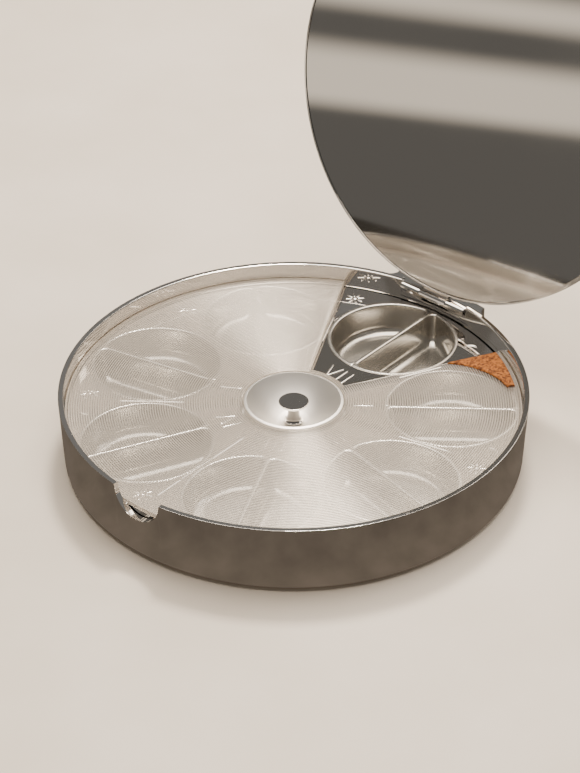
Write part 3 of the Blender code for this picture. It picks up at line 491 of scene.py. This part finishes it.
def makeDeck():
    # each sector is a polar grid from its pocket's hole out to deckReach, with a shallow groove along its edge
    s = trayShape
    phi = np.sort(np.concatenate([np.linspace(-pi, pi, 181), deckCorners(s)]))
    reach, onArc = deckReach(phi, s)
    share = np.array([0, 0.03, 0.35, 0.7, 0.97, 1.0])[:, None]
    edge = reach - s["grooveHalf"]
    dist = s["hole"] + (edge - s["hole"]) * share
    top = np.concatenate([dist, reach[None]])
    topZ = np.concatenate([dist * 0 + s["top"], reach[None] * 0 + s["top"] - s["groove"]])
    dist = np.concatenate([reach[None], top[:1], top])
    z = np.concatenate([reach[None] * 0 + s["bottom"], reach[None] * 0 + s["bottom"], topZ])
    grid = np.stack([dist * np.sin(phi), s["ring"] + dist * np.cos(phi), z], -1)
    rim = grid[[0, -1]]
    both = onArc[:-1] & onArc[1:]
    verts, quads, start = [], [], 0
    for k in range(pocketCount):
        for piece, chosen in ((grid, slice(None)), (rim, both)):
            verts.append(spun(piece, k * sector).reshape(-1, 3))
            quads.append(gridQuads(*piece.shape[:2])[chosen] + start)
            start += piece.shape[0] * piece.shape[1]
    deck = meshObject("trayDeck", np.concatenate(verts), np.concatenate(quads))
    place(deck, "tray", steel, "polished_steel", "tray_plate")


def roundedD(radius, chord, corner):
    # half disc with round corners: large arc, corner, straight side, corner; u across, v along the divider
    cu = chord + corner
    cv = sqrt(max((radius - corner) ** 2 - cu ** 2, 0.01))
    beta = np.arctan2(cv, cu)
    big = np.linspace(-beta, beta, 60)
    upper = np.linspace(beta, pi, 12)[1:]
    straight = np.linspace(cv, -cv, 24)[1:-1]
    lower = np.linspace(pi, 2 * pi - beta, 12)
    u = np.concatenate([radius * np.cos(big), cu + corner * np.cos(upper), straight * 0 + chord,
                        cu + corner * np.cos(lower)])
    v = np.concatenate([radius * np.sin(big), cv + corner * np.sin(upper), straight,
                        -cv + corner * np.sin(lower)])
    return np.stack([u, v], -1)


# outside: (radius, height) from the underside up to the lip, which rolls into the bowl
cupShape = {"radius": 23.2, "chord": 1.0, "corner": 2.2, "top": 19.55, "floor": 7.0, "fillet": 3.6,
            "draft": 0.35, "lip": 0.7, "square": 0.4, "middle": 10.0,
            "outside": [(21.0, 6.2), (24.18, 9.0), (24.18, 19.3), (24.85, 19.32), (24.75, 19.5),
                        (24.5, 19.55)]}


def cupRow(s, inset, corner, z):
    return roundedD(s["radius"] - inset, max(s["chord"] + inset, 0.3), corner), z


def makeCups():
    # outlines stacked up the outside and down the inside: lip by a quarter circle, drafted wall, then a fillet
    s = cupShape
    middle = np.array([s["middle"], 0.0])
    rows = [(roundedD(radius, 0.0, s["square"]), z) for radius, z in s["outside"]]
    rows.insert(0, (middle + (rows[0][0] - middle) * 0, rows[0][1]))
    for t in np.linspace(0, pi / 2, 6):
        rows.append(cupRow(s, -s["lip"] + s["lip"] * sin(t), s["corner"], s["top"] - s["lip"] * (1 - cos(t))))
    wallTop = s["top"] - s["lip"]
    for t in np.linspace(0.15, 1, 4):
        z = wallTop + (s["floor"] + s["fillet"] - wallTop) * t
        rows.append(cupRow(s, s["draft"] * t, s["corner"], z))
    for a in np.linspace(0, pi / 2, 9)[1:]:
        inset = s["draft"] + s["fillet"] * (1 - cos(a))
        rows.append(cupRow(s, inset, max(s["corner"] - inset * 0.2, 0.8),
                           s["floor"] + s["fillet"] * (1 - sin(a))))
    last = rows[-1][0]
    for scale in (0.96, 0.7, 0.35, 0.0):
        rows.append((middle + (last - middle) * scale, s["floor"]))
    flat = np.stack([np.concatenate([o, np.full((len(o), 1), z)], 1) for o, z in rows])
    flat = np.concatenate([flat, flat[:, :1]], 1)
    for k in range(pocketCount):
        halves = [spun(flat * np.array([side, 1, 1]) + np.array([0, trayShape["ring"], 0]), k * sector)
                  for side in (-1, 1)]
        cup = joinGrids(f"drawnCup{k + 1}", halves, 40)
        place(cup, "tray", cupSteel, "drawn_steel", f"pocket_cup_{k + 1}")


def capsules(ends, radius, flatten=0.55, steps=14):
    # each stroke is a ball stretched between two ends: radius shrinks as sqrt(1 - w squared) over the tips
    grids = []
    w = np.concatenate([-np.cos(np.linspace(0, pi / 2, 5)), np.cos(np.linspace(pi / 2, 0, 5))])
    a = np.linspace(0, 2 * pi, steps + 1)
    for (x0, y0), (x1, y1) in ends:
        length = sqrt((x1 - x0) ** 2 + (y1 - y0) ** 2)
        dx, dy = (x1 - x0) / length, (y1 - y0) / length
        along = np.concatenate([w[:5] * radius, length + w[5:] * radius])[:, None]
        around = (radius * np.sqrt(np.maximum(1 - w ** 2, 0)))[:, None]
        side = around * np.cos(a)
        grids.append(np.stack([x0 + dx * along - dy * side, y0 + dy * along + dx * side,
                               trayShape["top"] + around * np.sin(a) * flatten], -1))
    return grids


markShape = {"stroke": 0.4, "sun": (-28.8, 70.1), "sunRay": (1.5, 3.3), "sunBall": 0.85, "rays": 8,
             "moon": (27.0, 71.7), "moonSize": 2.4, "moonTurn": radians(131), "moonRise": 0.32,
             "numeralRow": 25.6, "numeralHeight": 7.0, "numeralGap": 3.4}
numerals = ["I", "II", "III", "IV", "V", "VI", "VII"]


def romanStrokes(text, s):
    # one upright stroke for each unit and two leaning ones for five
    high, gap = s["numeralHeight"] / 2, s["numeralGap"]
    widths = [gap * (1.7 if letter == "V" else 0.9) for letter in text]
    x = -sum(widths) / 2
    strokes = []
    for letter, width in zip(text, widths):
        mid = x + width / 2
        if letter == "I":
            strokes.append(((mid, -high), (mid, high)))
        else:
            strokes += [((mid - gap * 0.7, high), (mid, -high)), ((mid, -high), (mid + gap * 0.7, high))]
        x += width
    return [((x0, y0 + s["numeralRow"]), (x1, y1 + s["numeralRow"])) for (x0, y0), (x1, y1) in strokes]


def crescent(s):
    # between two arcs, lens-shaped across: height is 1 - (2 t - 1) squared
    a = s["moonTurn"] + np.linspace(radians(-75), radians(75), 30)
    t = np.linspace(0, 1, 7)[:, None]
    size = s["moonSize"]
    outer = np.stack([size * np.cos(a), size * np.sin(a)], -1)
    share = np.linspace(-1, 1, 30)
    towards = np.array([cos(s["moonTurn"]), sin(s["moonTurn"])])
    inner = outer - size * 0.4 * (1 - share[:, None] ** 2) * towards
    flat = outer[None] * (1 - t[..., None]) + inner[None] * t[..., None]
    rise = s["moonRise"] * (1 - (2 * t - 1) ** 2) * (1 - share ** 8) + trayShape["top"]
    low = rise * 0 + trayShape["top"] - 0.1
    top = np.concatenate([flat, rise[..., None]], -1)
    under = np.concatenate([flat, low[..., None]], -1)
    grid = np.concatenate([top, under[::-1], top[:1]])
    return grid + np.array([*s["moon"], 0])


def makeMarks():
    s = markShape
    cx, cy = s["sun"]
    low, high = s["sunRay"]
    rays = [((cx + low * cos(a), cy + low * sin(a)), (cx + high * cos(a), cy + high * sin(a)))
            for a in np.arange(s["rays"]) * 2 * pi / s["rays"]]
    ball = capsules([((cx - 0.05, cy), (cx + 0.05, cy))], s["sunBall"], 0.4)
    for k in range(pocketCount):
        strokes = romanStrokes(numerals[(k + 6) % pocketCount], s) + rays
        grids = [spun(g, k * sector) for g in capsules(strokes, s["stroke"]) + ball + [crescent(s)]]
        place(joinGrids(f"dayMarks{k + 1}", grids, 60), "tray", steel, "polished_steel")


makeCase()
makeCover()
makeDish()
makeKnob()
makeDeck()
makeCups()
makeMarks()
print("tray, cups and marks")


# cork patch: beside the window, over the rim of the next pocket

patchShape = {"bottom": 21.9, "thick": 0.7, "outer": 82.0, "hollow": 24.58, "shift": 1.9, "inset": 1.5,
              "tail": radians(7.5), "rough": 0.06}


def makePatch():
    # ruled between the hollow arc near the pocket and a path along the window's edge, the outer arc and the
    # end; the top is the square root of a crown that falls off by a 14th power across and a 40th along
    s = patchShape
    ring = trayShape["ring"] - s["shift"]
    centre = np.array([ring * sin(sector), ring * cos(sector)])
    lean = windowShape["lean"]
    offset = s["inset"] - windowShape["apex"] * sin(lean)
    away = centre[0] * cos(lean) - centre[1] * sin(lean) - offset
    start = centre[0] * sin(lean) + centre[1] * cos(lean) + sqrt(s["hollow"] ** 2 - away ** 2)
    along = np.linspace(start, sqrt(s["outer"] ** 2 - offset ** 2), 41)[:, None]
    side = offset * np.array([cos(lean), -sin(lean)]) + along * np.array([sin(lean), cos(lean)])
    a = np.linspace(edgeAngle(s["outer"], s["inset"]), sector - s["tail"], 61)[1:]
    far = np.stack([s["outer"] * np.sin(a), s["outer"] * np.cos(a)], -1)
    tailRadius = ring * cos(s["tail"]) + sqrt(s["hollow"] ** 2 - (ring * sin(s["tail"])) ** 2)
    end = np.linspace(s["outer"], tailRadius, 7)[1:, None] * np.array([sin(a[-1]), cos(a[-1])])
    path = np.concatenate([side, far, end])
    first = np.arctan2(*(side[0] - centre))
    last = np.arctan2(*(end[-1] - centre))
    b = np.linspace(first, last, len(path))
    near = centre + s["hollow"] * np.stack([np.sin(b), np.cos(b)], -1)
    t = np.linspace(0, 1, 50)[:, None, None]
    flat = near * (1 - t) + path * t
    u = np.linspace(-1, 1, len(path))
    crown = (1 - (2 * t[..., 0] - 1) ** 14) * (1 - u ** 40)
    grain = np.random.default_rng(11).normal(0, s["rough"], crown.shape)
    top = s["bottom"] + s["thick"] * crown ** 0.5 + np.minimum(grain, 0) * crown
    points = np.concatenate([flat, top[..., None]], -1)
    under = np.concatenate([flat, top[..., None] * 0 + s["bottom"]], -1)
    grid = np.concatenate([points, under[::-1], points[:1]])
    place(gridObject("corkPatch", grid, 70), "case", cork, "cork", "cork_patch")


makePatch()


# lid, worked out shut and then swung open about the hinge pin

lidShape = {"radius": 81.6, "lip": 80.85, "face": 24.35, "top": 27.35, "seat": 25.75, "plate": 80.5,
            "plateFace": 24.45, "plateBack": 25.45, "hingeY": 82.9, "hingeZ": 25.1, "centreY": -1.9,
            "open": 104.5}


def swungOpen(points):
    # turned back about the pin: y' = y cos a + z sin a, z' = z cos a - y sin a, from the pin's axis
    a = radians(lidShape["open"])
    y, z = points[..., 1] - lidShape["hingeY"], points[..., 2] - lidShape["hingeZ"]
    return np.stack([points[..., 0], y * cos(a) + z * sin(a) + lidShape["hingeY"],
                     z * cos(a) - y * sin(a) + lidShape["hingeZ"]], -1)


def makeLid():
    # a shallow pan with a turned-down rim and a plate in it, each carried round the lid's own centre
    s = lidShape
    path = roundPath([(0, s["top"]), (s["radius"], s["top"], 0.6), (s["radius"], s["face"], 0.2),
                      (s["lip"], s["face"], 0.2), (s["lip"], s["seat"]), (0, s["seat"])], steps=6)
    pan = turn(path, 256, (0, s["centreY"]))
    place(gridObject("lidPan", swungOpen(pan)), "lid", steel, "polished_steel", "lid_shell")
    path = roundPath([(0, s["plateFace"]), (s["plate"], s["plateFace"], 0.12),
                      (s["plate"], s["plateBack"], 0.1), (0, s["plateBack"])])
    plate = turn(path, 256, (0, s["centreY"]))
    place(gridObject("lidMirror", swungOpen(plate)), "lid", mirrorPlate, "mirror", "lid_mirror")


makeLid()
print("lid")

finishes = {"hinge_block": steel, "hinge_pin": steel, "index_spring": steel, "retaining_clip": steel,
            "lid_arm": steel, "hinge_block_screw_1": satin, "hinge_block_screw_2": satin, "spring_screw": satin,
            "tray_hub": satin, "hub_screw_1": satin, "hub_screw_2": satin, "hub_screw_3": satin,
            "spindle": satin, "spindle_bush": acetal, "thrust_washer": acetal, "index_wheel": acetal,
            "base_pad": silicone}
for nodeName, finish in finishes.items():
    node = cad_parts[nodeName]
    node.data.materials.clear()
    node.data.materials.append(finish)


# studio: plain pale floor, one key light behind, a wide soft fill above, a dim room

view = {"eye": (0.4907, -0.5685, 0.5476), "right": (0.7559, 0.6547, 0), "ahead": (-0.6547, 0.7559, 0),
        "heading": 49.10, "pitch": 34.716, "roll": -0.15, "lens": 116.4, "sensor": 36.0}

# spot is (to the side, away from the eye, up) in metres, then side of the square, power in watts and colour
lights = {"keyLight": ((0.09, 0.62, 1.25), 0.22, 18, "#FFF3E4"),
          "overheadSoftbox": ((0.0, 0.15, 1.2), 1.1, 25, "#FFF3E4"),
          "sideSoftbox": ((1.0, 0.45, 0.75), 0.7, 7, "#FFF6EC")}


def viewPoint(side, depth, up):
    # metres to the view's right, away from the eye and up, from the case's axis on the floor
    return Vector(view["right"]) * side + Vector(view["ahead"]) * depth + Vector((0, 0, up))


def areaLight(name, spot, size, power, colour):
    data = bpy.data.lights.new(name, "AREA")
    data.shape = "RECTANGLE"
    data.size = data.size_y = size
    data.energy = power
    data.color = linear(colour)[:3]
    lamp = bpy.data.objects.new(name, data)
    lamp.location = viewPoint(*spot)
    lamp.rotation_euler = (-lamp.location).to_track_quat("-Z", "Y").to_euler()
    bpy.context.scene.collection.objects.link(lamp)


def makeFloor():
    # honed pale stone: matt, with a faint cloudiness
    look = {"light": "#E6DBCD", "dark": "#DFD3C4", "roughness": 0.55, "cloudMm": 60}
    material, tree, shader = newMaterial("honedPaleStone", Roughness=look["roughness"])
    coords = addNode(tree, "ShaderNodeTexCoord")
    clouds = addNode(tree, "ShaderNodeTexNoise", inputs={"Scale": perMetre(look["cloudMm"]), "Detail": 5.0},
                     links={"Vector": coords.outputs["Object"]})
    tones = addNode(tree, "ShaderNodeValToRGB", links={"Fac": clouds.outputs["Fac"]})
    setRamp(tones, [(0.35, look["dark"]), (0.65, look["light"])])
    tree.links.new(tones.outputs["Color"], shader.inputs["Base Color"])
    bpy.ops.mesh.primitive_plane_add(size=8.0, location=(0, 0, -0.05 * mm))
    floor = bpy.context.object
    floor.name = "studioFloor"
    floor.data.materials.append(material)


def makeStudio():
    look = {"room": "#807E7B", "strength": 0.9}
    world = bpy.data.worlds.new("dimRoom")
    world.use_nodes = True
    background = world.node_tree.nodes["Background"]
    background.inputs["Color"].default_value = linear(look["room"])
    background.inputs["Strength"].default_value = look["strength"]
    bpy.context.scene.world = world
    for name, settings in lights.items():
        areaLight(name, *settings)


def reflectionOnly(obj):
    obj.visible_camera = False
    obj.visible_diffuse = False
    obj.visible_shadow = False
    obj.visible_transmission = False


def glowMaterial(name):
    material, tree, shader = newMaterial(name)
    tree.nodes.remove(shader)
    glow = addNode(tree, "ShaderNodeEmission")
    tree.links.new(glow.outputs["Emission"], tree.nodes["Material Output"].inputs["Surface"])
    return material, tree, glow


def makeBandedCard():
    # only reflections see it: an upright dim card with soft bands of window light, shown by the lid's mirror.
    # The bands follow height + slope x depth
    look = {"dark": "#63605C", "band": "#FFF1DE", "strength": 1.15, "side": -0.30, "near": -0.9, "far": 0.3,
            "high": 0.3, "bandTop": 0.2, "slope": 0.18}
    tones = [(0.0, "dark"), (0.27, "dark"), (0.33, "band"), (0.41, "band"), (0.49, "dark"), (0.53, "dark"),
             (0.6, "band"), (0.68, "dark"), (1.0, "dark")]
    material, tree, glow = glowMaterial("bandedCard")
    coords = addNode(tree, "ShaderNodeTexCoord")
    parts = addNode(tree, "ShaderNodeSeparateXYZ", links={"Vector": coords.outputs["Object"]})
    depth = addNode(tree, "ShaderNodeVectorMath", {"operation": "DOT_PRODUCT"},
                    {1: view["ahead"]}, {0: coords.outputs["Object"]})
    slope = addNode(tree, "ShaderNodeMath", {"operation": "MULTIPLY_ADD"}, {1: look["slope"]},
                    {0: depth.outputs["Value"], 2: parts.outputs["Z"]})
    share = addNode(tree, "ShaderNodeMapRange", inputs={"From Min": 0.0, "From Max": look["bandTop"]},
                    links={"Value": slope.outputs["Value"]})
    colours = addNode(tree, "ShaderNodeValToRGB", links={"Fac": share.outputs["Result"]})
    colours.color_ramp.interpolation = "EASE"
    setRamp(colours, [(position, look[tone]) for position, tone in tones])
    glow.inputs["Strength"].default_value = look["strength"]
    tree.links.new(colours.outputs["Color"], glow.inputs["Color"])
    near, far, high = look["near"], look["far"], look["high"]
    corners = [viewPoint(look["side"], away, up)[:]
               for away, up in ((near, 0), (far, 0), (far, high), (near, high))]
    mesh = bpy.data.meshes.new("bandedCard")
    mesh.from_pydata(corners, [], [(0, 1, 2, 3)])
    mesh.materials.append(material)
    card = bpy.data.objects.new("bandedCard", mesh)
    bpy.context.scene.collection.objects.link(card)
    reflectionOnly(card)


def makeShadedTable():
    # only reflections see it: a dim mottled ring on the floor, so that the polished wall shows a shaded table
    look = {"near": "#71665A", "far": "#443F39", "blendFrom": 90, "blendTo": 170, "mottleMm": 100 / 6,
            "inner": 80.0, "outer": 900.0, "height": 0.2}
    material, tree, glow = glowMaterial("shadedTable")
    coords = addNode(tree, "ShaderNodeTexCoord")
    reach = addNode(tree, "ShaderNodeVectorMath", {"operation": "LENGTH"}, links={0: coords.outputs["Object"]})
    share = addNode(tree, "ShaderNodeMapRange", links={"Value": reach.outputs["Value"]},
                    inputs={"From Min": look["blendFrom"] * mm, "From Max": look["blendTo"] * mm})
    tones = addNode(tree, "ShaderNodeValToRGB", links={"Fac": share.outputs["Result"]})
    setRamp(tones, [(0.0, look["near"]), (1.0, look["far"])])
    mottle = addNode(tree, "ShaderNodeTexNoise", inputs={"Scale": perMetre(look["mottleMm"]), "Detail": 3.0},
                     links={"Vector": coords.outputs["Object"]})
    level = addNode(tree, "ShaderNodeMapRange", inputs={"From Min": 0.3, "From Max": 0.7, "To Min": 0.86,
                    "To Max": 1.14}, links={"Value": mottle.outputs["Fac"]})
    tree.links.new(tones.outputs["Color"], glow.inputs["Color"])
    tree.links.new(level.outputs["Result"], glow.inputs["Strength"])
    path = np.array([[look["inner"], look["height"]], [look["outer"], look["height"]]])
    ring = gridObject("shadedTable", turn(path, 96))
    ring.data.materials.append(material)
    reflectionOnly(ring)


def makeCamera():
    data = bpy.data.cameras.new("viewCamera")
    data.lens = view["lens"]
    data.sensor_width = view["sensor"]
    camera = bpy.data.objects.new("viewCamera", data)
    bpy.context.scene.collection.objects.link(camera)
    heading, pitch, roll = (radians(view[name]) for name in ("heading", "pitch", "roll"))
    look = Vector((-cos(heading) * cos(pitch), sin(heading) * cos(pitch), -sin(pitch)))
    camera.location = view["eye"]
    camera.rotation_euler = (look.to_track_quat("-Z", "Y") @ Quaternion((0, 0, 1), roll)).to_euler()
    bpy.context.scene.camera = camera


makeFloor()
makeStudio()
makeBandedCard()
makeShadedTable()
makeCamera()
print("studio and camera")
